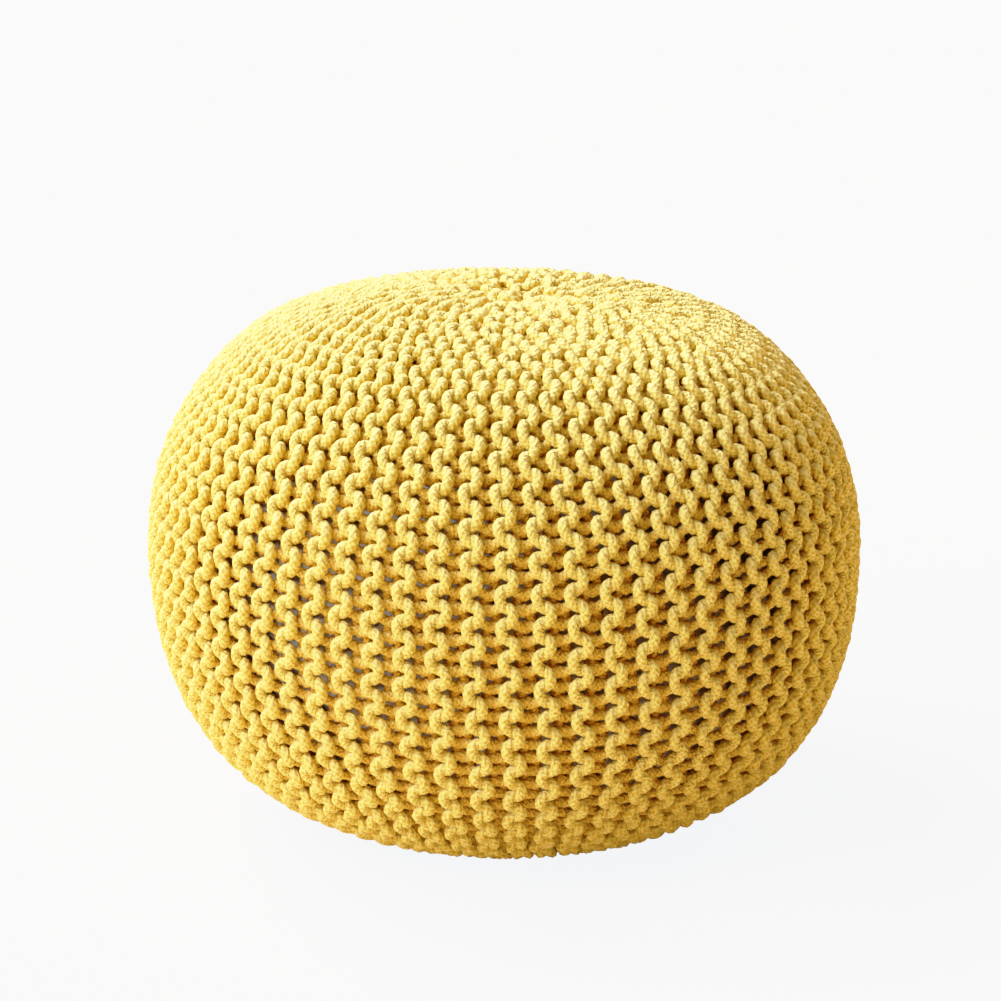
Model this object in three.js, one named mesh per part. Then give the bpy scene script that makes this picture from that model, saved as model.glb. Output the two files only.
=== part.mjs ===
// A round knitted pouf: a thick garter-stitch cover of cotton cord, drawn closed at the crown and under the
// base, over one tightly filled inner bag. Millimetres, +Z up, origin on the floor under the middle of the pouf.

import * as THREE from "three";

// Outer size of the pouf, over the tops of the knitted ridges
const width = 500;
const equatorHeight = 182; // the widest place, above the floor
const crownRise = 193; // the crown above the widest place
const fullDepth = 199; // how far the lower half would reach without the flat that it rests on

// Fullness of the outline: 2 is an ellipse, and more is squarer
const crownFullness = 2.54;
const baseFullness = 2.48;

// The knitted fabric and the bag inside it
const coverThickness = 20;
const fitGap = 0.4;

// Where the knitting is drawn closed
const drawnOpening = 9; // radius left open at the crown and under the base
const crownDimple = 7;
const dimpleRadius = 34;
const baseLift = 6; // the drawn edge stands this far off the floor
const baseLiftRadius = 42;

// The filling has settled a little to one side
const lean = -2.3; // the crown's shift along X
const crownTilt = 0.012; // the crown is higher towards -X by this part of its rise

// Facets
const aroundSteps = 64;
const sideSteps = 19;

const radius = width / 2;

// Half of an upright section through the pouf's side, from the edge of the flat base up to the drawn crown.
class SideOutline extends THREE.Curve {
  constructor() {
    super();
    this.bottom = -Math.asin((equatorHeight / fullDepth) ** (baseFullness / 2));
    this.top = Math.acos((drawnOpening / radius) ** (crownFullness / 2));
  }

  getPoint(t) {
    const latitude = THREE.MathUtils.lerp(this.bottom, this.top, t);
    const upper = latitude > 0;
    const power = 2 / (upper ? crownFullness : baseFullness);
    const rise = upper ? crownRise : -fullDepth;
    const r = radius * Math.cos(latitude) ** power;
    const level = equatorHeight + rise * Math.abs(Math.sin(latitude)) ** power;
    const dimple = upper ? crownDimple * Math.exp(-((r / dimpleRadius) ** 2)) : 0;
    return new THREE.Vector2(r, level - dimple);
  }
}

// The whole outer section: the drawn edge lifted off the floor, the flat that the pouf rests on, and the side.
function outerSection() {
  const base = [new THREE.Vector2(drawnOpening, baseLift), new THREE.Vector2(baseLiftRadius, 0)];
  const side = new SideOutline().getSpacedPoints(sideSteps);
  side[0].y = 0;
  return [...base, ...side];
}

// The section moved inwards by a distance, each corner along the line that halves its angle.
function insetSection(section, distance) {
  return section.map((point, i) => {
    const before = section[Math.max(i - 1, 0)];
    const after = section[Math.min(i + 1, section.length - 1)];
    const into = point.clone().sub(before).normalize();
    const out = after.clone().sub(point).normalize();
    const along = into.clone().add(out).normalize();
    const stretch = Math.max(i === 0 || i === section.length - 1 ? 1 : along.dot(out), 0.5);
    const inward = new THREE.Vector2(-along.y, along.x);
    return point.clone().addScaledVector(inward, distance / stretch);
  });
}

// The solid turned from a section, with its filling settled to one side.
function turned(section) {
  const geometry = new THREE.LatheGeometry(section, aroundSteps).rotateX(Math.PI / 2);
  const position = geometry.getAttribute("position");
  for (let i = 0; i < position.count; i += 1) {
    const x = position.getX(i);
    const above = position.getZ(i) - equatorHeight;
    position.setX(i, x + (lean * above) / crownRise);
    if (above > 0) {
      position.setZ(i, equatorHeight + above * (1 - (crownTilt * x) / radius));
    }
  }
  geometry.computeVertexNormals();
  return geometry;
}

function knitCover(section) {
  const inside = insetSection(section, coverThickness).reverse();
  const cover = new THREE.Mesh(
    turned([...section, ...inside, section[0].clone()]),
    new THREE.MeshStandardMaterial({ color: 0xe3b94f, roughness: 0.9, metalness: 0 }),
  );
  cover.name = "knit_cover";
  return cover;
}

function innerBag(section) {
  const skin = insetSection(section, coverThickness + fitGap);
  const floor = new THREE.Vector2(0, skin[0].y);
  const crown = new THREE.Vector2(0, skin[skin.length - 1].y);
  const bag = new THREE.Mesh(
    turned([floor, ...skin, crown]),
    new THREE.MeshStandardMaterial({ color: 0x8d857b, roughness: 0.95, metalness: 0 }),
  );
  bag.name = "inner_bag";
  return bag;
}

const section = outerSection();
const pouf = new THREE.Group();
pouf.add(knitCover(section), innerBag(section));

export default pouf;
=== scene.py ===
# Looks of the knitted cord pouf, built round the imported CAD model. Blender units are metres, and lengths in
# the dictionaries are millimetres. The pouf stands on z = 0 and its front faces -Y.
import math

import bpy
import numpy as np
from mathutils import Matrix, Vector


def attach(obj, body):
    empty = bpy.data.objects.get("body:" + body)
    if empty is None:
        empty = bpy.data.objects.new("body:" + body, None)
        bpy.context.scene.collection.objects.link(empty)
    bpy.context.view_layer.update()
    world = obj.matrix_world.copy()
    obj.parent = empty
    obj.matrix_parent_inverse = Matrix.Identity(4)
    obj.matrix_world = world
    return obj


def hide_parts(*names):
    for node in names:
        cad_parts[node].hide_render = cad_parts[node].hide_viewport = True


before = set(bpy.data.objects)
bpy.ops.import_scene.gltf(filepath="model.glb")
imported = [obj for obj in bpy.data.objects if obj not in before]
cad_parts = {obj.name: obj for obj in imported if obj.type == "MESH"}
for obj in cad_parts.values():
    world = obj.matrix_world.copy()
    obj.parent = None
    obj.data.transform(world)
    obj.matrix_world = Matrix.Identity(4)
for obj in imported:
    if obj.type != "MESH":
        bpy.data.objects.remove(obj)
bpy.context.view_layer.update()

mm = 0.001
fullTurn = 2 * math.pi


def smoothStep(x):
    x = np.clip(x, 0, 1)
    return x * x * (3 - 2 * x)


def rises(x, span):
    # from 0 to 1 over a span
    start, end = span
    return smoothStep((x - start) / (end - start))


def readTable(x, rows):
    places, values = np.array(rows).T
    return np.interp(x, places, values)


def meshFrom(name, points, faces):
    # a smooth-shaded piece; points are in metres
    mesh = bpy.data.meshes.new(name)
    mesh.from_pydata(points, [], faces)
    mesh.polygons.foreach_set("use_smooth", np.ones(len(faces), bool))
    mesh.update()
    piece = bpy.data.objects.new(name, mesh)
    bpy.context.scene.collection.objects.link(piece)
    return piece


# Shape of the pouf

# The outline that the tops of the ridges follow, nearly as in the CAD model. Places along the cover are lengths
# from its drawn edge at the crown, and right is the viewer's right.
pouf = {
    "width": 500.0,
    "equatorHeight": 182.0,   # the widest place, above the floor
    "crownRise": 193.0,
    "fullDepth": 199.0,       # how far the lower half would reach without its flat
    "crownFullness": 2.54,    # 2 is an ellipse, more is squarer
    "baseFullness": 2.48,
    "drawnOpening": 9.0,      # radius left open at the crown and under the base
    "crownDimple": 7.0,
    "dimpleRadius": 34.0,
    "baseLift": 6.0,
    "baseLiftRadius": 42.0,
    "lean": 0.3,              # how far the crown has settled to the right
    "footLean": 3.4,          # the same for the base
    "crownTilt": 0.018,       # the crown is lower on the right by this part of its rise
    "softness": 7.0,          # how far the knitting rounds off the edge of the flat base
    "baseStart": 560.0,       # the underside begins here along the cover
    # how far the filling stands out, at places along the cover
    "fill": [
        (0, 0.0), (60, -0.6), (107, -1.4), (125, 0.4), (145, 1.6), (175, 2.6), (205, -0.4), (245, -1.2),
        (290, 0.0), (345, 2.1), (400, 0.6), (450, 0.3), (500, 1.6), (540, 1.4), (575, 0.0), (700, 0.0),
    ],
    "fillSoftness": 9.0,      # over which those swellings run into each other
    "leastRadius": 2.0,       # of an inner section, so that it never crosses the axis
    "outlineSteps": 900,
}


def evenly(points):
    # the same line with a point at each millimetre, so that a place along it is an index
    length = np.append(0, np.cumsum(np.linalg.norm(np.diff(points, axis=0), axis=1)))
    places = np.linspace(0, length[-1], int(length[-1]) + 1)
    return np.stack([np.interp(places, length, points[:, i]) for i in range(2)], -1)


def outerSection():
    # half an upright section, from the drawn crown over the side to the drawn base, as (radius, height)
    radius = pouf["width"] / 2
    top = math.acos((pouf["drawnOpening"] / radius) ** (pouf["crownFullness"] / 2))
    bottom = -math.asin((pouf["equatorHeight"] / pouf["fullDepth"]) ** (pouf["baseFullness"] / 2))
    latitude = np.linspace(top, bottom, pouf["outlineSteps"])
    upper = latitude > 0
    power = np.where(upper, 2 / pouf["crownFullness"], 2 / pouf["baseFullness"])
    rise = np.where(upper, pouf["crownRise"], -pouf["fullDepth"])
    r = radius * np.cos(latitude) ** power
    z = pouf["equatorHeight"] + rise * np.abs(np.sin(latitude)) ** power
    z -= np.where(upper, pouf["crownDimple"] * np.exp(-((r / pouf["dimpleRadius"]) ** 2)), 0)
    z[-1] = 0
    r = np.append(r, [pouf["baseLiftRadius"], pouf["drawnOpening"]])
    z = np.append(z, [0, pouf["baseLift"]])
    return evenly(np.stack([r, z], -1))


def softened(columns, reach):
    # rounds corners off over a reach in millimetres, and keeps both ends
    pad = 3 * int(reach)
    window = np.exp(-0.5 * (np.arange(-pad, pad + 1) / reach) ** 2)
    window /= window.sum()
    before = 2 * columns[0] - columns[pad:0:-1]
    after = 2 * columns[-1] - columns[-2:-pad - 2:-1]
    padded = np.concatenate([before, columns, after])
    return np.stack([np.convolve(column, window, "valid") for column in padded.T], -1)


def outwards(section):
    # unit normals of the section, pointing out of the pouf
    along = np.gradient(section, axis=0)
    along /= np.linalg.norm(along, axis=1)[:, None]
    return np.stack([-along[:, 1], along[:, 0]], -1)


def insetSection(distance):
    # the section at a distance inside the tops of the ridges, with the filling's swellings
    section = softened(outerSection(), pouf["softness"])
    fill = readTable(np.arange(len(section)), pouf["fill"])
    fill = softened(fill[:, None], pouf["fillSoftness"])
    inner = section + (fill - distance) * outwards(section)
    inner[:, 0] = np.maximum(inner[:, 0], pouf["leastRadius"])
    return evenly(inner)


def settled(points):
    # lets the filling settle to one side
    x, y, z = np.moveaxis(points, -1, 0)
    above = z - pouf["equatorHeight"]
    tilt = np.where(above > 0, 1 - pouf["crownTilt"] * x / (pouf["width"] / 2), 1)
    leaning = x + np.where(above > 0, pouf["lean"], -pouf["footLean"]) * above / pouf["crownRise"]
    return np.stack([leaning, y, pouf["equatorHeight"] + above * tilt], -1)


# Knitted cover

# Garter stitch: every ridge is two rows of loops. The heads of the first row bow out in front on its right,
# and the feet of the second on its left, each over the other row's legs. The legs go back into the valleys.
knit = {
    "ridges": 72,
    "gores": 9,
    "skips": [0, 4, 2, 6, 1, 5, 3, 7],   # stitches that each ridge of a gore stops short of the poles
    "cord": 7.5,
    # stitches, along their ridge
    "stitch": 20.5,           # from one to the next, on the flank
    "shoulder": (205.0, 45.0),   # where the shoulder is along the cover, and how far it reaches
    "shoulderStretch": 0.13,  # share by which the stitches are longer there
    "crownTightness": 0.1,    # share by which they are shorter on the crown
    "tightCrown": (60.0, 160.0),   # places over which that ends
    "stitchShift": 2.8,       # slides all stitches along their ridges
    "bowPlace": 0.25,         # part of a stitch at which the second row's bow lies; the first's is half one on
    # how much further down they lie than even stitches, at places along the cover
    "drawnDown": [
        (0, 0.0), (40, 2.0), (110, 6.0), (180, 6.0), (210, 4.2), (240, 2.4), (275, 0.6), (310, 0.0),
        (640, 0.0),
    ],
    # how much lower they hang on the right side than in front, and higher on the left, along the cover
    "slant": [
        (0, 0.0), (310, 0.0), (370, 1.7), (400, 3.4), (430, 5.2), (460, 8.0), (490, 9.7), (530, 11.0),
        (660, 0.0),
    ],
    # ridges, round the pouf
    "turn": -0.35,            # turns the whole cover, in ridges
    # their width at angles from the front, in degrees, as a share of the usual width
    "spread": [
        (-180, 1.0), (-90, 0.97), (-60, 0.96), (-40, 0.965), (-20, 0.985), (-2, 1.055), (20, 1.045),
        (40, 1.02), (60, 1.02), (110, 1.0), (180, 1.0),
    ],
    # share by which they stand closer at the front than in an even cover, at places along the cover
    "drawnFront": [
        (0, 0.04), (180, 0.045), (208, 0.05), (238, 0.036), (268, 0.018), (298, 0.015), (328, 0.008),
        (355, 0.0), (388, -0.008), (445, -0.014), (525, -0.02), (640, 0.0),
    ],
    "drawnAngle": -30.0,      # the middle of that place, in degrees from the front
    "drawnReach": 1.1,        # it begins to fade this far from there, in radians, and ends at the back
    "opening": 32.0,          # length over which a ridge opens to its full width
    "endShare": 0.25,         # its share of that width where it begins
    "endLength": 13.0,        # over which its neighbours make room for it
    "endLead": 0.9,           # how far ahead of its first stitch they start, in those lengths
    # loops
    "swell": (0.15, 3.2, -0.6),  # how far a loop swells beyond an even wave, by the first three harmonics
    "lean": 0.5,              # of the bows, their lower ends to the right
    "sag": 0.55,              # the legs hang lower than the bows by this part of their depth
    "ridgeWidth": 8.6,        # between the middles of the left and right bows of a ridge
    "narrowWidth": (2.2, 0.72),  # its most where ridges crowd: a length, plus a share of the rows' spacing
    "depthOut": 5.7,          # of the bows, from the middle of the fabric
    "depthIn": 5.0,           # of the loops' backs
    "bowRoundness": 0.05,     # 0 dives evenly, 1 stays at its height and dives at the legs
    "backRoundness": 0.35,
    "legThinning": 0.12,      # share by which the cord is thinner where it dives from front to back
    "crownFlatness": 0.4,     # share by which the loops stand out less at the middle of the crown
    "flatCrown": (20.0, 130.0),    # places over which that ends
    # unevenness
    "waves": 40,
    "waveTurns": 34,          # of a wave round the pouf, at most
    "wavePace": 0.14,         # of a wave along the cover, at most, in radians a millimetre
    "wander": (0.5, 0.5, 0.25),    # how far those waves move the fabric: down, round and out
    "uneven": (0.035, 0.07, 0.042),   # share by which single loops differ in reach, swell and height
    "crownJumble": (1.0, 1.0, 0.6),   # how far they stray on the crowded crown: down, round and out
    "crowdedCrown": (30.0, 110.0),    # places over which that ends
    "seed": 11,
    # knots that hold the last stitches at the crown and under the base
    "knotSize": 10.0,         # radius
    "knotHole": 0.38,         # from 0, no lobes, to 0.5, lobes that reach the middle
    "knotHeight": 0.45,       # how far its cord rises and dips, in cords
    "crownKnotRise": 3.0,     # over the middle of the fabric
    "baseKnotDrop": 1.0,
    "knotShade": 0.3,         # its depth for the painted valley shade, from 0 on the bows to 1 on the backs
    # mesh
    "rings": 19,              # to each loop
    "baseRings": 12,          # the same under the base
    "bendRings": 4,           # steps of the bend from row to row
    "knotRings": 72,
    "sides": 7,
    "pieces": 6,
}

middle = insetSection(knit["depthOut"] + knit["cord"] / 2)
middleOut = outwards(middle)
middlePlaces = np.arange(len(middle), dtype=float)


def layStitches():
    # places along the cover where one stitch ends and the next begins
    where, reach = knit["shoulder"]
    pitch = knit["stitch"] * (1 + knit["shoulderStretch"] * np.exp(-((middlePlaces - where) / reach) ** 2))
    pitch *= 1 - knit["crownTightness"] * (1 - rises(middlePlaces, knit["tightCrown"]))
    count = np.append(0, np.cumsum((1 / pitch[1:] + 1 / pitch[:-1]) / 2))
    stitches = int(round(count[-1]))
    return np.interp(np.arange(stitches + 1) * count[-1] / stitches, count, middlePlaces)


stitchPlaces = layStitches()
stitchCount = len(stitchPlaces) - 1


def stitchPlace(number):
    # the place along the cover of a whole or part stitch, counted from the crown
    return np.interp(number, np.arange(stitchCount + 1), stitchPlaces)


def onFabric(along, angle, lift):
    # a point at a place along the cover, an angle from the front and a height over the middle of the fabric
    r = np.interp(along, middlePlaces, middle[:, 0]) + lift * np.interp(along, middlePlaces, middleOut[:, 0])
    z = np.interp(along, middlePlaces, middle[:, 1]) + lift * np.interp(along, middlePlaces, middleOut[:, 1])
    return settled(np.stack([r * np.sin(angle), -r * np.cos(angle), z], -1))


def ridgeEdges():
    # angles between the ridges, spread a little unevenly round the pouf, counted over two turns
    step = 0.5
    degrees = np.arange(-360, 360 + step, step)
    angles, shares = np.array(knit["spread"]).T
    density = 1 / np.interp(degrees[1:] - step / 2, angles, shares, period=360)
    count = np.append(0, np.cumsum(density))
    count = (count - np.interp(0, degrees, count)) * 2 * knit["ridges"] / count[-1]
    numbers = np.arange(knit["ridges"] + 1) - knit["ridges"] // 2
    return np.radians(np.interp(numbers, count, degrees)) + knit["turn"] * fullTurn / knit["ridges"]


def ridgeWeight(skip):
    # the share of its full width that a ridge takes along the cover, when it skips stitches at the poles
    fromTop = middlePlaces - stitchPlace(skip)
    fromBottom = stitchPlace(stitchCount - skip) - middlePlaces
    inside = smoothStep(fromTop / knit["opening"]) * smoothStep(fromBottom / knit["opening"])
    there = (smoothStep(fromTop / knit["endLength"] + knit["endLead"])
             * smoothStep(fromBottom / knit["endLength"] + knit["endLead"]))
    return there * (knit["endShare"] + (1 - knit["endShare"]) * inside)


def layRidges():
    # each ridge's first and last stitch, and its angle and angular width at each place along the cover
    edges = ridgeEdges()
    size = knit["ridges"] // knit["gores"]
    ridges = []
    for start in range(0, knit["ridges"], size):
        lo, hi = edges[start], edges[start + size]
        own = np.diff(edges[start:start + size + 1])
        weights = np.array([own[i] * ridgeWeight(knit["skips"][i]) for i in range(size)])
        total = weights.sum(0)
        centre = (np.cumsum(weights, 0) - weights / 2) / total
        for i in range(size):
            ridges.append({
                "first": knit["skips"][i],
                "last": stitchCount - knit["skips"][i],
                "angle": lo + (hi - lo) * centre[i],
                "width": (hi - lo) * weights[i] / total,
            })
    return ridges


def dive(front, roundness):
    return (1 - roundness) * front + roundness * front ** 3


def loopShape(turn, kind, stitch, reach, spacing, swell):
    # one row in its own plane; its loops bow out in front where turn is whole, to the right for the first
    # row (kind 1) and to the left for the second (kind -1)
    front = np.cos(turn)
    depth = np.where(front > 0, dive(front, knit["bowRoundness"]), dive(front, knit["backRoundness"]))
    lift = np.where(depth > 0, knit["depthOut"], knit["depthIn"]) * depth
    swelling = sum(size * np.sin((n + 1) * turn) for n, size in enumerate(knit["swell"]))
    down = swell * swelling * stitch / knit["stitch"] + knit["sag"] * (knit["depthOut"] - lift)
    across = kind * (reach * front - spacing / 2) + knit["lean"] * np.sin(turn) * np.maximum(front, 0)
    thick = 1 - knit["legThinning"] * (1 - front ** 2)
    return down, across, lift, thick


def ringTurns(rings):
    # spreads a loop's mesh rings by its length and bend, and thinner over the hidden back
    reach, spacing = 9.4, 10.6       # of a usual loop
    lengthStep, bendStep, backShare = 5.0, 0.5, 0.45       # millimetres, radians, and the back's share
    turn = np.linspace(-math.pi, math.pi, 721)
    down, across, lift, _ = loopShape(turn, 1, knit["stitch"], reach, spacing, 1)
    line = np.stack([knit["stitch"] * turn / fullTurn + down, across, lift], -1)
    speed = np.gradient(line, turn, axis=0)
    length = np.linalg.norm(speed, axis=1)
    heading = speed / length[:, None]
    bend = np.linalg.norm(np.gradient(heading, turn, axis=0), axis=1)
    legsSeen, frontSeen = 0.7, 0.9
    seen = smoothStep(legsSeen + frontSeen * np.cos(turn))       # 0 at the back, 1 in front
    share = (length / lengthStep + bend / bendStep) * (backShare + (1 - backShare) * seen)
    measure = np.append(0, np.cumsum((share[1:] + share[:-1]) / 2))
    return np.interp(np.arange(rings) / rings * measure[-1], measure, turn)


def slowWaves(rng):
    # a smooth uneven field over the fabric, of waves some centimetres long
    count, turns, pace = knit["waves"], knit["waveTurns"], knit["wavePace"]
    return {
        "round": rng.integers(-turns, turns + 1, count),
        "along": rng.uniform(-pace, pace, count),
        "phase": rng.uniform(0, fullTurn, count),
        "size": rng.normal(0, math.sqrt(2 / count), count),
    }


def waveHeight(waves, angle, along):
    height = np.zeros_like(along)
    for turns, pace, phase, size in zip(*waves.values()):
        height += size * np.sin(turns * angle + pace * along + phase)
    return height


def drawnAside(along, angle):
    # the angle at which a place of an even cover comes to lie
    aside = (angle - math.radians(knit["drawnAngle"]) + math.pi) % fullTurn - math.pi
    reach = aside * (1 - rises(np.abs(aside), (knit["drawnReach"], math.pi)))
    return angle - readTable(along, knit["drawnFront"]) * reach


def turnBack(lineEnd, lineStart):
    # the short smooth bend by which the cord goes from the end of one row into the next
    steps = knit["bendRings"]
    start, end = lineEnd[-1], lineStart[0]
    leaving, arriving = (lineEnd[-1] - lineEnd[-2]) * steps, (lineStart[1] - lineStart[0]) * steps
    u = (np.arange(1, steps) / steps)[:, None]
    return ((2 * u ** 3 - 3 * u ** 2 + 1) * start + (u ** 3 - 2 * u ** 2 + u) * leaving
            + (-2 * u ** 3 + 3 * u ** 2) * end + (u ** 3 - u ** 2) * arriving)


def rowTurns(ridge, kind, turns, baseTurns):
    # turns of every ring of a row; the first row's bows stand half a stitch below the second's
    half = math.pi if kind > 0 else 0
    row = []
    for number in range(ridge["first"], ridge["last"]):
        chosen = turns if stitchPlace(number) < pouf["baseStart"] else baseTurns
        row.append(number * fullTurn + np.sort((chosen + half) % fullTurn))
    return np.concatenate(row)


def chances(t, loops, rng, share=1.0):
    # three random numbers for each loop, running evenly from loop to loop
    return [np.interp(t, loops * fullTurn, rng.normal(0, 1, len(loops)) * share) for _ in range(3)]


def knitRow(ridge, kind, turns, baseTurns, waves, rng):
    # the cord's middle line along one row: its points, its relative width, and how deep it lies, from 0 to 1
    t = rowTurns(ridge, kind, turns, baseTurns)
    loops = np.arange(ridge["first"], ridge["last"] + 1)
    uneven = [size * chance for size, chance in zip(knit["uneven"], chances(t, loops, rng))]
    crowded = 1 - rises(stitchPlace(loops), knit["crowdedCrown"])
    stray = [size * chance for size, chance in zip(knit["crownJumble"], chances(t, loops, rng, crowded))]

    # where on the cover each turn belongs
    number = t / fullTurn + knit["bowPlace"]
    base = stitchPlace(number) + knit["stitchShift"]
    base = base + readTable(base, knit["drawnDown"])
    facing = np.sin(np.interp(base, middlePlaces, ridge["angle"]))
    base = base + facing * readTable(base, knit["slant"])

    # the loop's own form there
    stitch = stitchPlace(np.floor(number) + 1) - stitchPlace(np.floor(number))
    r = np.interp(base, middlePlaces, middle[:, 0])
    spacing = r * np.interp(base, middlePlaces, ridge["width"]) / 2       # of the two rows, in millimetres
    least, share = knit["narrowWidth"]
    ridgeWidth = np.minimum(knit["ridgeWidth"], share * spacing + least)
    reach = (spacing + ridgeWidth) / 2 * (1 + uneven[0])
    turn = t - (math.pi if kind > 0 else 0)
    down, across, lift, thick = loopShape(turn, kind, stitch, reach, spacing, 1 + uneven[1])
    deep = (knit["depthOut"] - lift) / (knit["depthOut"] + knit["depthIn"])

    # laid on the fabric, with what the pull of the stitches and chance do to it
    along = base + down + stray[0]
    angle = drawnAside(along, np.interp(along, middlePlaces, ridge["angle"])) + (across + stray[1]) / r
    flat = 1 - knit["crownFlatness"] * (1 - rises(base, knit["flatCrown"]))
    lift = lift * flat * (1 + uneven[2]) + stray[2]
    along = along + knit["wander"][0] * waveHeight(waves[0], angle, along)
    angle = angle + knit["wander"][1] * waveHeight(waves[1], angle, along) / r
    lift = lift + knit["wander"][2] * waveHeight(waves[2], angle, along)
    return np.concatenate([onFabric(along, angle, lift), thick[:, None], deep[:, None]], 1)


def gatheringKnot(height, up):
    # the knotted end of the cord that draws the last stitches together, a trefoil round the axis
    rings = knit["knotRings"]
    turn = fullTurn * np.arange(rings) / rings
    swing = knit["knotSize"] * (1 - knit["knotHole"] * (1 - np.cos(3 * turn)))
    x, y = swing * np.sin(2 * turn), swing * np.cos(2 * turn)
    z = height + up * knit["knotHeight"] * knit["cord"] * np.sin(3 * turn)
    place = settled(np.stack([x, y, z], -1))
    return np.concatenate([place, np.ones((rings, 1)), np.full((rings, 1), knit["knotShade"])], 1)


def carriedFrames(lines, counts):
    # headings and side vectors of closed lines, which turn as little as the cord allows
    ahead = np.empty_like(lines)
    for i, n in enumerate(counts):
        line = lines[i, :n]
        heading = np.roll(line, -1, 0) - np.roll(line, 1, 0)
        ahead[i, :n] = heading / np.linalg.norm(heading, axis=1)[:, None]
        ahead[i, n:] = ahead[i, 0]
    side = np.empty_like(lines)
    unlikeAny = [0.3, 0.2, 0.9]       # no line starts in this direction
    start = np.cross(ahead[:, 0], unlikeAny)
    side[:, 0] = start / np.linalg.norm(start, axis=1)[:, None]
    for k in range(1, lines.shape[1]):
        carried = side[:, k - 1] - ahead[:, k] * (side[:, k - 1] * ahead[:, k]).sum(1)[:, None]
        side[:, k] = carried / np.linalg.norm(carried, axis=1)[:, None]
    return ahead, side


def tubesFrom(lines):
    # closed tubes round closed lines: every tube's points, the length run along it, and how deep it lies
    counts = [len(line) for line in lines]
    padded = np.zeros((len(lines), max(counts) + 1, 3))
    for i, line in enumerate(lines):
        padded[i, :len(line)] = line[:, :3]
        padded[i, len(line):] = line[0, :3]
    ahead, side = carriedFrames(padded, counts)
    tubes = []
    for i, n in enumerate(counts):
        line, go, out = padded[i, :n], ahead[i, :n], side[i, :n]
        up = np.cross(go, out)
        closing = side[i, n]       # carried once round, beside the first ring
        twist = math.atan2(closing @ up[0], closing @ out[0])
        step = np.linalg.norm(np.roll(line, -1, 0) - line, axis=1)
        run = np.append(0, np.cumsum(step))
        spin = -twist * run[:-1] / run[-1]
        turn = spin[:, None] + fullTurn * np.arange(knit["sides"])[None] / knit["sides"]
        ring = np.cos(turn)[..., None] * out[:, None] + np.sin(turn)[..., None] * up[:, None]
        radius = knit["cord"] / 2 * lines[i][:, 3, None, None]
        tubes.append({"points": line[:, None] + radius * ring, "run": run, "deep": lines[i][:, 4]})
    return tubes


def tubeFaces(count, first):
    # four corners of each face of a closed tube, whose points start at number first
    sides = knit["sides"]
    ring = np.arange(count)[:, None]
    nextRing = (ring + 1) % count
    k = np.arange(sides)[None]
    nextK = (k + 1) % sides
    corners = [ring * sides + k, ring * sides + nextK, nextRing * sides + nextK, nextRing * sides + k]
    return first + np.stack(corners, -1).reshape(-1, 4)


# A flat map to bake the looks on: strips of cord, unrolled
exportMap = {
    "stripLength": 900.0,
    "stripWidth": math.pi * knit["cord"],
    "gap": 0.5,
}


def layInStrips(run, strip):
    # cuts a tube's run into strips: each ring's strip and shift along it, and the next free strip
    strips, shifts = [], []
    cursor = 0.0
    for start, end in zip(run[:-1], run[1:]):
        if cursor + (end - start) > exportMap["stripLength"]:
            strip, cursor = strip + 1, 0.0
        strips.append(strip)
        shifts.append(cursor - start)
        cursor += end - start
    return np.array(strips)[:, None, None], np.array(shifts)[:, None, None], strip + 1


def joinTubes(name, tubes):
    # one mesh of many tubes, with a map for the cord's pattern and a flat one to bake on
    sides = knit["sides"]
    width = exportMap["stripWidth"]
    faces, runs, strips = [], [], []
    first, strip = 0, 0
    k = np.arange(sides)
    for tube in tubes:
        count = len(tube["points"])
        faces.append(tubeFaces(count, first))
        start, end = tube["run"][:-1], tube["run"][1:]
        u = np.stack([start, start, end, end], -1)[:, None].repeat(sides, 1)
        v = np.stack([k / sides, (k + 1) / sides, (k + 1) / sides, k / sides], -1)[None].repeat(count, 0)
        runs.append(np.stack([u, v], -1).reshape(-1, 2))
        own, shift, strip = layInStrips(tube["run"], strip)
        strips.append(np.stack([u + shift, v * width + own * (width + exportMap["gap"])], -1).reshape(-1, 2))
        first += count * sides
    points = np.concatenate([tube["points"].reshape(-1, 3) for tube in tubes])
    piece = meshFrom(name, points * mm, np.concatenate(faces))
    cordRun = piece.data.uv_layers.new(name="cordRun")
    cordRun.data.foreach_set("uv", np.concatenate(runs).ravel())
    deep = piece.data.attributes.new("deepInFabric", "FLOAT", "POINT")
    deep.data.foreach_set("value", np.concatenate([tube["deep"] for tube in tubes]).repeat(sides))
    flat = np.concatenate(strips)
    baked = piece.data.uv_layers.new(name="OFBake")
    baked.data.foreach_set("uv", (flat / flat.max()).ravel())
    return piece


def knitCover():
    rng = np.random.default_rng(knit["seed"])
    waves = [slowWaves(rng) for _ in range(3)]
    turns, baseTurns = ringTurns(knit["rings"]), ringTurns(knit["baseRings"])
    lines = []
    for ridge in layRidges():
        down = knitRow(ridge, 1, turns, baseTurns, waves, rng)
        up = knitRow(ridge, -1, turns, baseTurns, waves, rng)[::-1]
        lines.append(np.concatenate([down, turnBack(down, up), up, turnBack(up, down)]))
    lines.append(gatheringKnot(middle[0, 1] + knit["crownKnotRise"], 1))
    lines.append(gatheringKnot(middle[-1, 1] - knit["baseKnotDrop"], -1))
    tubes = tubesFrom(lines)
    pieces = []
    for i, part in enumerate(np.array_split(np.arange(len(tubes)), knit["pieces"])):
        pieces.append(joinTubes(f"knitCover_{i + 1}", [tubes[j] for j in part]))
    length = sum(tube["run"][-1] for tube in tubes)
    triangles = sum(2 * len(piece.data.polygons) for piece in pieces)
    print(f"knitted cover: {knit['ridges']} ridges, {stitchCount} stitches, {length * mm:.0f} m of cord,",
          f"{triangles} triangles")
    return pieces


# Inner bag

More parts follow.
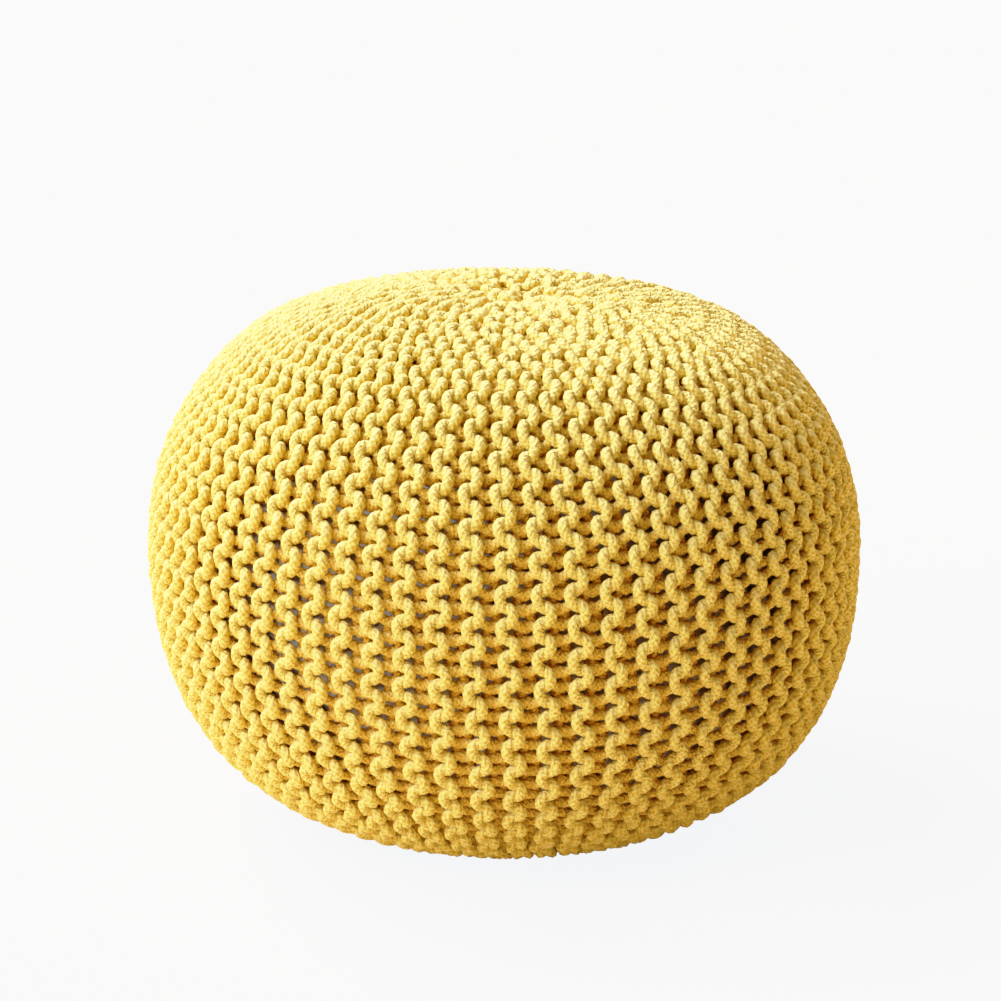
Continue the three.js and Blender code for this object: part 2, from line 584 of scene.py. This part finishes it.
bag = {
    "inset": 19.4,            # from the tops of the ridges
    "panels": 8,
    "seamDepth": 1.2,
    "seamWidth": 0.18,        # of a seam's dent, where the middle of a panel is at 1
    "seamStart": 30.0,        # radius at which the seams begin
    "rows": 72,
    "around": 128,
}


def innerBag():
    section = insetSection(bag["inset"])
    places = np.linspace(0, len(section) - 1, bag["rows"])
    r, z = (np.interp(places, np.arange(len(section)), column) for column in section.T)
    around = bag["around"]
    angle = fullTurn * np.arange(around) / around
    seam = np.abs(np.sin(bag["panels"] * angle / 2))
    dent = bag["seamDepth"] * np.exp(-((seam / bag["seamWidth"]) ** 2))
    r = r[:, None] - dent[None] * (r[:, None] > bag["seamStart"])
    cloth = np.stack([r * np.sin(angle), -r * np.cos(angle), z[:, None].repeat(around, 1)], -1)[1:-1]
    poles = np.array([[0, 0, z[0]], [0, 0, z[-1]]])
    points = settled(np.concatenate([cloth.reshape(-1, 3), poles]))

    rows = bag["rows"] - 2
    i, k = np.meshgrid(np.arange(rows - 1), np.arange(around), indexing="ij")
    nextK = (k + 1) % around
    corners = [i * around + k, (i + 1) * around + k, (i + 1) * around + nextK, i * around + nextK]
    faces = np.stack(corners, -1).reshape(-1, 4).tolist()
    crown, floor = rows * around, rows * around + 1
    last = (rows - 1) * around
    for k in range(around):
        faces.append([crown, k, (k + 1) % around])
        faces.append([floor, last + (k + 1) % around, last + k])
    piece = meshFrom("innerBag", points * mm, faces)
    print(f"inner bag: {len(faces)} faces")
    return piece


# Materials

def linear(code):
    # sRGB hex to a linear colour
    parts = [int(code[i:i + 2], 16) / 255 for i in (1, 3, 5)]
    return [c / 12.92 if c <= 0.04045 else ((c + 0.055) / 1.055) ** 2.4 for c in parts] + [1.0]


def addNode(tree, kind, links=(), **settings):
    # a node with its settings; a link goes from another node, or from one of its outputs, to an input here
    node = tree.nodes.new(kind)
    for name, value in settings.items():
        if name.startswith("in_"):
            key = name[3:]
            node.inputs[int(key) if key.isdigit() else key.replace("_", " ")].default_value = value
        else:
            setattr(node, name, value)
    for source, target in links:
        output = source.outputs[0] if isinstance(source, bpy.types.Node) else source
        tree.links.new(output, node.inputs[target])
    return node


def newMaterial(name):
    material = bpy.data.materials.new(name)
    material.use_nodes = True
    material.node_tree.nodes.clear()
    return material, material.node_tree


cottonCord = {
    "bright": "#f7e586",      # painted highlight on the tops of the strands
    "full": "#f1cf5c",        # the dye on their sides
    "deep": "#dfb046",        # painted shade between the strands
    "braidShadeRange": (0.35, 1.7),  # heights of the braid from the painted shade to the painted highlight
    "fullAt": 0.28,           # where the full dye lies between them
    "valley": "#eab94c",      # painted shade on cord that lies deep between the ridges
    "valleyShadeRange": (0.3, 0.95),    # depths over which that sets in
    "valleyShare": 0.75,
    "paintedTopLight": "#fff3ac",       # painted light on the sides that face up
    "paintedTopLightFrom": 0.1,         # how far up a side has to face, where 1 is flat on top
    "paintedTopLightShare": 0.45,
    "strand": 3.1,            # across one strand
    "strandsRound": 4,        # of each direction; even, so that the braid closes round the cord
    "strandFullness": 1.5,    # less is a fuller strand with narrower gaps
    "overUnder": 0.6,         # how far the strands rise and dip at their crossings
    "crossingSoftness": 0.3,
    "waver": 2.6,             # how crookedly the strands lie, in radians of their pattern
    "waverScale": 170.0,      # bends to the metre, so one in 6 mm
    "relief": 0.65,
    "fibres": 0.25,           # height of the fibre tufts, where a strand's is 1
    "fibreScale": 700.0,      # tufts to the metre, so one in 1.4 mm; real ones are finer and wouldn't show
    "bloom": "#fff0b0",       # light that the fibres' ends catch
    "bloomShare": 0.3,
}


def braidHeight(tree, cordRun, waver):
    # strands of two directions that go over and under each other, from about 0 in gaps to 1.6 on crossings
    place = addNode(tree, "ShaderNodeSeparateXYZ", [(cordRun, 0)])
    bend = addNode(tree, "ShaderNodeSeparateXYZ", [(waver.outputs["Color"], 0)])
    across = cottonCord["strandsRound"] / (math.pi * knit["cord"])
    pace = math.sqrt(1 / cottonCord["strand"] ** 2 - across ** 2)
    along = addNode(tree, "ShaderNodeMath", [(place.outputs["X"], 0)], operation="MULTIPLY",
                    in_1=math.pi * pace)
    around = addNode(tree, "ShaderNodeMath", [(place.outputs["Y"], 0)], operation="MULTIPLY",
                     in_1=math.pi * cottonCord["strandsRound"])
    strands = []
    for direction, axis in (("ADD", "X"), ("SUBTRACT", "Y")):
        straight = addNode(tree, "ShaderNodeMath", [(along, 0), (around, 1)], operation=direction)
        crooked = addNode(tree, "ShaderNodeMath", [(bend.outputs[axis], 0), (straight, 2)],
                          operation="MULTIPLY_ADD", in_1=cottonCord["waver"])
        strands.append(addNode(tree, "ShaderNodeMath", [(crooked, 0)], operation="SINE"))
    heights = []
    for own, other, side in ((strands[0], strands[1], 1), (strands[1], strands[0], -1)):
        size = addNode(tree, "ShaderNodeMath", [(own, 0)], operation="ABSOLUTE")
        crown = addNode(tree, "ShaderNodeMath", [(size, 0)], operation="POWER",
                        in_1=cottonCord["strandFullness"])
        sign = addNode(tree, "ShaderNodeMath", [(own, 0)], operation="SIGN")
        over = addNode(tree, "ShaderNodeMath", [(other, 0), (sign, 1)], operation="MULTIPLY")
        rise = addNode(tree, "ShaderNodeMath", [(over, 0)], operation="MULTIPLY_ADD",
                       in_1=side * cottonCord["overUnder"], in_2=1.0)
        heights.append(addNode(tree, "ShaderNodeMath", [(rise, 0), (crown, 1)], operation="MULTIPLY"))
    return addNode(tree, "ShaderNodeMath", [(heights[0], 0), (heights[1], 1)], operation="SMOOTH_MAX",
                   in_2=cottonCord["crossingSoftness"])


def cordColour(tree, height):
    # the dye, with painted shade between the braid's strands and a painted highlight on their tops, painted
    # light on the sides that face up, and painted shade where the cord lies deep between the ridges
    braidShadeFrom, braidShadeTo = cottonCord["braidShadeRange"]
    blend = addNode(tree, "ShaderNodeMapRange", [(height, 0)], in_1=braidShadeFrom, in_2=braidShadeTo)
    # the dye ramp paints shade between the strands and a highlight on their tops, by the braid's height
    dye = addNode(tree, "ShaderNodeValToRGB", [(blend, 0)])
    dye.color_ramp.elements[0].color = linear(cottonCord["deep"])
    dye.color_ramp.elements[1].color = linear(cottonCord["bright"])
    dye.color_ramp.elements.new(cottonCord["fullAt"]).color = linear(cottonCord["full"])
    # painted light on the sides that face up, by how far up the normal points
    facing = addNode(tree, "ShaderNodeNewGeometry")
    upright = addNode(tree, "ShaderNodeSeparateXYZ", [(facing.outputs["Normal"], 0)])
    upward = addNode(tree, "ShaderNodeMapRange", [(upright.outputs["Z"], 0)], in_1=cottonCord["paintedTopLightFrom"],
                     in_2=1.0, in_4=cottonCord["paintedTopLightShare"])
    paintedTopLight = addNode(tree, "ShaderNodeMix", [(upward, 0), (dye, 6)], data_type="RGBA",
                    in_7=linear(cottonCord["paintedTopLight"]))
    # painted shade on cord that lies deep between the ridges, by its depth in the fabric
    deep = addNode(tree, "ShaderNodeAttribute", attribute_name="deepInFabric")
    sunkFrom, sunkTo = cottonCord["valleyShadeRange"]
    sunk = addNode(tree, "ShaderNodeMapRange", [(deep.outputs["Fac"], 0)], in_1=sunkFrom, in_2=sunkTo,
                   in_4=cottonCord["valleyShare"])
    valleyShaded = addNode(tree, "ShaderNodeMix", [(sunk, 0), (paintedTopLight.outputs[2], 6)], data_type="RGBA",
                     blend_type="MULTIPLY", in_7=linear(cottonCord["valley"]))
    return valleyShaded.outputs[2]


def braidedCottonCord():
    # dyed cotton, braided from soft spun strands: matt, with a bloom of fine fibres, and no shine anywhere
    material, tree = newMaterial("braided dyed cotton cord")
    place = addNode(tree, "ShaderNodeTexCoord").outputs["Object"]
    cordRun = addNode(tree, "ShaderNodeUVMap", uv_map="cordRun")
    waver = addNode(tree, "ShaderNodeTexNoise", [(place, "Vector")], in_Scale=cottonCord["waverScale"],
                    in_Detail=1.0)
    fibres = addNode(tree, "ShaderNodeTexNoise", [(place, "Vector")], in_Scale=cottonCord["fibreScale"],
                     in_Detail=2.0, in_Roughness=0.6)
    braid = braidHeight(tree, cordRun, waver)
    height = addNode(tree, "ShaderNodeMath", [(fibres, 0), (braid, 2)], operation="MULTIPLY_ADD",
                     in_1=cottonCord["fibres"])
    bump = addNode(tree, "ShaderNodeBump", [(height, "Height")], in_Strength=1.0,
                   in_Distance=cottonCord["relief"] * mm)
    skin = addNode(tree, "ShaderNodeBsdfPrincipled",
                   [(cordColour(tree, height), "Base Color"), (bump, "Normal")],
                   in_Roughness=0.9, in_IOR=1.53, in_Specular_IOR_Level=0.25,
                   in_Sheen_Weight=cottonCord["bloomShare"], in_Sheen_Roughness=0.6,
                   in_Sheen_Tint=linear(cottonCord["bloom"]))
    addNode(tree, "ShaderNodeOutputMaterial", [(skin, "Surface")])
    return material


bagCloth = {
    "thread": "#e4e1dc",
    "shade": "#cdc9c2",       # between the threads
    "threadScale": 900.0,     # threads to the metre, so one in 1.1 mm; real ones are finer and wouldn't show
    "relief": 0.4,
}


def wovenBagCloth():
    # undyed cotton and polyester, plain woven: pale and flat, with a fine even grain
    material, tree = newMaterial("plain woven bag cloth")
    place = addNode(tree, "ShaderNodeTexCoord").outputs["Object"]
    grain = addNode(tree, "ShaderNodeTexNoise", [(place, "Vector")], in_Scale=bagCloth["threadScale"],
                    in_Detail=2.0)
    colour = addNode(tree, "ShaderNodeMix", [(grain, 0)], data_type="RGBA", in_6=linear(bagCloth["shade"]),
                     in_7=linear(bagCloth["thread"]))
    bump = addNode(tree, "ShaderNodeBump", [(grain, "Height")], in_Strength=0.4,
                   in_Distance=bagCloth["relief"] * mm)
    skin = addNode(tree, "ShaderNodeBsdfPrincipled", [(colour.outputs[2], "Base Color"), (bump, "Normal")],
                   in_Roughness=0.92, in_IOR=1.5)
    addNode(tree, "ShaderNodeOutputMaterial", [(skin, "Surface")])
    return material


coverPieces = knitCover()
bagPiece = innerBag()
cordMaterial = braidedCottonCord()
clothMaterial = wovenBagCloth()
for piece in coverPieces:
    piece.data.materials.append(cordMaterial)
    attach(piece, "root")
    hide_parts("knit_cover")
bagPiece.data.materials.append(clothMaterial)
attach(bagPiece, "root")
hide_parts("inner_bag")
print("materials: braided cotton cord and woven bag cloth")


# Studio

studio = {
    "eyeDistance": 2000.0,
    "elevation": 17.5,        # of the camera, in degrees
    "pictureWidth": 1001.0,   # pixels
    "focalPixels": 2809.0,    # in a picture of that width
    "targetPixel": (504.2, 548.7),   # where the middle of the pouf's widest level shows
    "sensor": 36.0,
    # the lamps: angle from the front and height in degrees, watts a square metre, and colour
    "lamps": [
        (-60.0, 35.0, 3.05, "#ffffff"),
        (-125.0, 48.0, 4.1, "#ffffff"),
        (140.0, 30.0, 1.05, "#ffd9aa"),
    ],
    "lampFace": 40.0,         # degrees that a lamp spans, seen from the pouf
    "lampDistance": 3000.0,   # they shine alike from any distance
    "sky": "#ffcf98",
    "skyStrength": 0.1,
    "roomRadius": 12000.0,
    "wallSpan": (-1000.0, 9000.0),
    "wallSides": 64,
    "floor": "#f0dabb",       # warms the shaded side of the pouf
    "floorHeight": -1.2,      # under the lowest cords
    # a glowing sheet over the floor, seen only by the camera, paints light over the pouf's shadow
    "shadowGlowHeight": -1.0,
    "shadowGlow": "#f6fafe",
    "shadowGlowShare": 0.85,
    "backdrop": "#fbfbfb",
    "paleness": 1.22,         # of the wall and the glow over the floor shadow, so that they still show pale under the curve
    # the picture's contrast, as linear light before and after; the brightest light still shows some shape
    "contrast": [
        (0.0, 0.0), (0.02, 0.0125), (0.065, 0.067), (0.14, 0.168), (0.25, 0.293), (0.4, 0.452), (0.6, 0.66),
        (0.8, 0.81), (1.0, 0.91), (1.25, 0.968), (1.6, 1.0),
    ],
}


def studioCamera():
    data = bpy.data.cameras.new("studioCamera")
    camera = bpy.data.objects.new("studioCamera", data)
    bpy.context.scene.collection.objects.link(camera)
    rise = math.radians(studio["elevation"])
    target = Vector((0, 0, pouf["equatorHeight"] * mm))
    back = Vector((0, -math.cos(rise), math.sin(rise)))
    camera.location = target + back * studio["eyeDistance"] * mm
    camera.rotation_euler = back.to_track_quat("Z", "Y").to_euler()
    width = studio["pictureWidth"]
    x, y = studio["targetPixel"]
    data.sensor_width = studio["sensor"]
    data.lens = studio["sensor"] * studio["focalPixels"] / width
    data.shift_x = -(x - width / 2) / width
    data.shift_y = (y - width / 2) / width
    bpy.context.scene.camera = camera


def softLamp(name, angle, height, power, colour):
    # a large lamp far away
    data = bpy.data.lights.new(name, "SUN")
    data.energy = power
    data.color = linear(colour)[:3]
    data.angle = math.radians(studio["lampFace"])
    lamp = bpy.data.objects.new(name, data)
    bpy.context.scene.collection.objects.link(lamp)
    angle, height = math.radians(angle), math.radians(height)
    level = math.cos(height)
    towards = Vector((math.sin(angle) * level, -math.cos(angle) * level, math.sin(height)))
    lamp.location = towards * studio["lampDistance"] * mm
    lamp.rotation_euler = towards.to_track_quat("Z", "Y").to_euler()


def studioSurface(name, points, faces, material, seenOnly=False):
    # a stage piece; one that is only seen lights and shades nothing
    surface = meshFrom(name, points, faces)
    surface.data.materials.append(material)
    if seenOnly:
        surface.visible_diffuse = False
        surface.visible_glossy = False
        surface.visible_shadow = False
    return surface


def groundPlane(name, height, material, seenOnly=False):
    side = studio["roomRadius"] * mm
    corners = [(-side, -side, 0), (side, -side, 0), (side, side, 0), (-side, side, 0)]
    plane = studioSurface(name, corners, [(0, 1, 2, 3)], material, seenOnly)
    plane.location.z = height * mm


def studioFloor():
    material, tree = newMaterial("pale studio floor")
    skin = addNode(tree, "ShaderNodeBsdfPrincipled", in_Base_Color=linear(studio["floor"]), in_Roughness=0.9)
    addNode(tree, "ShaderNodeOutputMaterial", [(skin, "Surface")])
    groundPlane("studioFloor", studio["floorHeight"], material)


def studioVeil():
    # a pale sheet just over the floor that glows and is seen only by the camera: painted light that lifts the
    # pouf's shadow on the floor
    material, tree = newMaterial("glow over the floor shadow")
    clear = addNode(tree, "ShaderNodeBsdfTransparent")
    glow = addNode(tree, "ShaderNodeEmission", in_Color=linear(studio["shadowGlow"]),
                   in_Strength=studio["paleness"])
    mix = addNode(tree, "ShaderNodeMixShader", [(clear, 1), (glow, 2)], in_0=studio["shadowGlowShare"])
    addNode(tree, "ShaderNodeOutputMaterial", [(mix, "Surface")])
    groundPlane("studioVeil", studio["shadowGlowHeight"], material, seenOnly=True)


def studioBackdrop():
    # a pale wall all round, far away
    material, tree = newMaterial("pale studio backdrop")
    glow = addNode(tree, "ShaderNodeEmission", in_Color=linear(studio["backdrop"]),
                   in_Strength=studio["paleness"])
    addNode(tree, "ShaderNodeOutputMaterial", [(glow, "Surface")])
    sides, radius = studio["wallSides"], studio["roomRadius"] * mm
    angles = [fullTurn * k / sides for k in range(sides)]
    ring = [(radius * math.sin(angle), radius * math.cos(angle)) for angle in angles]
    points = [(x, y, z * mm) for z in studio["wallSpan"] for x, y in ring]
    faces = [(k, (k + 1) % sides, sides + (k + 1) % sides, sides + k) for k in range(sides)]
    studioSurface("studioBackdrop", points, faces, material, seenOnly=True)


def studioSky():
    world = bpy.data.worlds.new("studioSky")
    bpy.context.scene.world = world
    world.use_nodes = True
    background = world.node_tree.nodes["Background"]
    background.inputs["Color"].default_value = linear(studio["sky"])
    background.inputs["Strength"].default_value = studio["skyStrength"]


def studioContrast():
    view = bpy.context.scene.view_settings
    view.view_transform = "Standard"
    view.use_curve_mapping = True
    white = studio["contrast"][-1][0]
    view.curve_mapping.white_level = (white, white, white)
    allColours = view.curve_mapping.curves[3]
    for x, y in studio["contrast"][1:-1]:
        allColours.points.new(x / white, y)
    view.curve_mapping.update()


studioCamera()
studioFloor()
studioVeil()
studioBackdrop()
studioSky()
for i, lamp in enumerate(studio["lamps"]):
    softLamp(f"keyLight_{i + 1}", *lamp)
studioContrast()
print("studio: camera, floor and lights")
